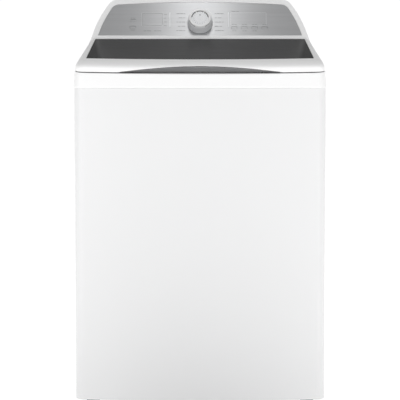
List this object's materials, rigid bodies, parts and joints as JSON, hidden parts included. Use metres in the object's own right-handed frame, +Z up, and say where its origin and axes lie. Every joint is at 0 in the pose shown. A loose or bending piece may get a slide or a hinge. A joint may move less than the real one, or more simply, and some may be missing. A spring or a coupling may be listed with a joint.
{
  "type": "top load washing machine",
  "caption": "Top load washing machine with a full-width glass lid, leaning console with a control knob, sprung tub, spinning basket and wash plate.",
  "frame": {"origin": "on the floor under the middle of the machine's overall box", "axes": "+Z up, -Y is the front that carries the lid's handle, +X is to the right seen from the front"},
  "size_m": [0.711, 0.686, 1.1645],
  "materials": {
    "white_paint": "gloss white enamel on steel sheet",
    "white_plastic": "gloss white moulded plastic",
    "brushed_metal": "brushed along its length, satin",
    "chrome_trim": "bright chrome",
    "smoked_glass": "smoked tempered glass",
    "grey_plastic": "satin grey moulded plastic",
    "dark_plastic": "matt dark plastic",
    "black_rubber": "matt rubber",
    "zinc_steel": "zinc coated steel",
    "stainless": "satin stainless steel",
    "brass_port": "machined brass",
    "cast_alloy": "as cast, matt",
    "iron": "painted iron",
    "board": "coated circuit board"
  },
  "bodies": {
    "cabinet": {"cabinet_shell": "white_paint", "rear_panel": "zinc_steel", "base_frame": "zinc_steel", "top_cover": "white_plastic", "dispenser_cup": "grey_plastic", "console_housing": "white_plastic", "console_fascia": "brushed_metal", "display_window": "brushed_metal", "control_board": "board", "lid_lock": "dark_plastic", "hinge_bracket_left": "grey_plastic", "hinge_bracket_right": "grey_plastic", "inlet_valve": "dark_plastic", "inlet_port_hot": "brass_port", "inlet_port_cold": "brass_port", "fill_riser": "grey_plastic", "fill_duct": "grey_plastic", "drain_fitting": "dark_plastic", "mains_gland": "black_rubber", "suspension_rod_1": "zinc_steel", "suspension_rod_2": "zinc_steel", "suspension_rod_3": "zinc_steel", "suspension_rod_4": "zinc_steel"},
    "lid": {"lid_frame": "white_plastic", "lid_glass": "smoked_glass", "lid_liner": "white_plastic", "handle_insert": "grey_plastic", "lid_strike": "zinc_steel", "hinge_pin_left": "zinc_steel", "hinge_pin_right": "zinc_steel"},
    "lock_bolt": {"lock_bolt": "zinc_steel"},
    "knob": {"knob_skirt": "brushed_metal", "knob_ring": "chrome_trim", "knob_cap": "brushed_metal"},
    "tub": {"outer_tub": "grey_plastic", "tub_ring": "white_plastic", "drive_motor": "iron", "drain_pump": "dark_plastic", "drive_belt": "black_rubber", "suspension_spring_1": "zinc_steel", "suspension_spring_2": "zinc_steel", "suspension_spring_3": "zinc_steel", "suspension_spring_4": "zinc_steel"},
    "basket": {"wash_basket": "stainless", "balance_ring": "grey_plastic", "basket_hub": "cast_alloy"},
    "impeller": {"wash_plate": "grey_plastic", "drive_shaft": "zinc_steel", "drive_pulley": "cast_alloy"},
    "motor_pulley": {"motor_pulley": "cast_alloy"},
    "power_key": {"power_key": "brushed_metal"},
    "start_key": {"start_key": "brushed_metal"},
    "option_key_1": {"option_key_1": "brushed_metal"},
    "option_key_2": {"option_key_2": "brushed_metal"},
    "option_key_3": {"option_key_3": "brushed_metal"},
    "option_key_4": {"option_key_4": "brushed_metal"},
    "foot_1": {"foot_1": "black_rubber"},
    "foot_2": {"foot_2": "black_rubber"},
    "foot_3": {"foot_3": "black_rubber"},
    "foot_4": {"foot_4": "black_rubber"}
  },
  "joints": [
    {"name": "lid_hinge", "type": "hinge", "parent": "cabinet", "child": "lid", "pos_m": [0, 0.105, 1.02404], "axis": [-1, 0, 0], "range_deg": [0, 84]},
    {"name": "lock_bolt_slide", "type": "slide", "parent": "cabinet", "child": "lock_bolt", "axis": [-1, 0, 0], "range_m": [0, 0.012]},
    {"name": "knob_turn", "type": "hinge", "parent": "cabinet", "child": "knob", "pos_m": [0, 0.15399, 1.08423], "axis": [0, -0.8339, 0.5519], "continuous": true},
    {"name": "tub_bounce", "type": "slide", "parent": "cabinet", "child": "tub", "axis": [0, 0, 1], "range_m": [-0.03, 0.01], "stiffness_N_per_m": 20000, "springref_m": 0.01923, "deforming": ["suspension_spring_1", "suspension_spring_2", "suspension_spring_3", "suspension_spring_4"]},
    {"name": "basket_spin", "type": "hinge", "parent": "tub", "child": "basket", "pos_m": [0, -0.007, 0.372], "axis": [0, 0, 1], "continuous": true},
    {"name": "impeller_spin", "type": "hinge", "parent": "tub", "child": "impeller", "pos_m": [0, -0.007, 0.372], "axis": [0, 0, 1], "continuous": true},
    {"name": "motor_pulley_spin", "type": "hinge", "parent": "tub", "child": "motor_pulley", "pos_m": [0, 0.171, 0.256], "axis": [0, 0, 1], "continuous": true},
    {"name": "power_key_press", "type": "slide", "parent": "cabinet", "child": "power_key", "axis": [0, 0.8339, -0.5519], "range_m": [0, 0.001], "stiffness_N_per_m": 400, "springref_m": -0.0005},
    {"name": "start_key_press", "type": "slide", "parent": "cabinet", "child": "start_key", "axis": [0, 0.8339, -0.5519], "range_m": [0, 0.001], "stiffness_N_per_m": 400, "springref_m": -0.0005},
    {"name": "option_key_1_press", "type": "slide", "parent": "cabinet", "child": "option_key_1", "axis": [0, 0.8339, -0.5519], "range_m": [0, 0.001], "stiffness_N_per_m": 400, "springref_m": -0.0005},
    {"name": "option_key_2_press", "type": "slide", "parent": "cabinet", "child": "option_key_2", "axis": [0, 0.8339, -0.5519], "range_m": [0, 0.001], "stiffness_N_per_m": 400, "springref_m": -0.0005},
    {"name": "option_key_3_press", "type": "slide", "parent": "cabinet", "child": "option_key_3", "axis": [0, 0.8339, -0.5519], "range_m": [0, 0.001], "stiffness_N_per_m": 400, "springref_m": -0.0005},
    {"name": "option_key_4_press", "type": "slide", "parent": "cabinet", "child": "option_key_4", "axis": [0, 0.8339, -0.5519], "range_m": [0, 0.001], "stiffness_N_per_m": 400, "springref_m": -0.0005},
    {"name": "foot_1_level", "type": "slide", "parent": "cabinet", "child": "foot_1", "axis": [0, 0, -1], "range_m": [0, 0.015]},
    {"name": "foot_2_level", "type": "slide", "parent": "cabinet", "child": "foot_2", "axis": [0, 0, -1], "range_m": [0, 0.015]},
    {"name": "foot_3_level", "type": "slide", "parent": "cabinet", "child": "foot_3", "axis": [0, 0, -1], "range_m": [0, 0.015]},
    {"name": "foot_4_level", "type": "slide", "parent": "cabinet", "child": "foot_4", "axis": [0, 0, -1], "range_m": [0, 0.015]}
  ],
  "couplings": [
    {"joint": "motor_pulley_spin", "follows": "impeller_spin", "ratio": 5}
  ]
}
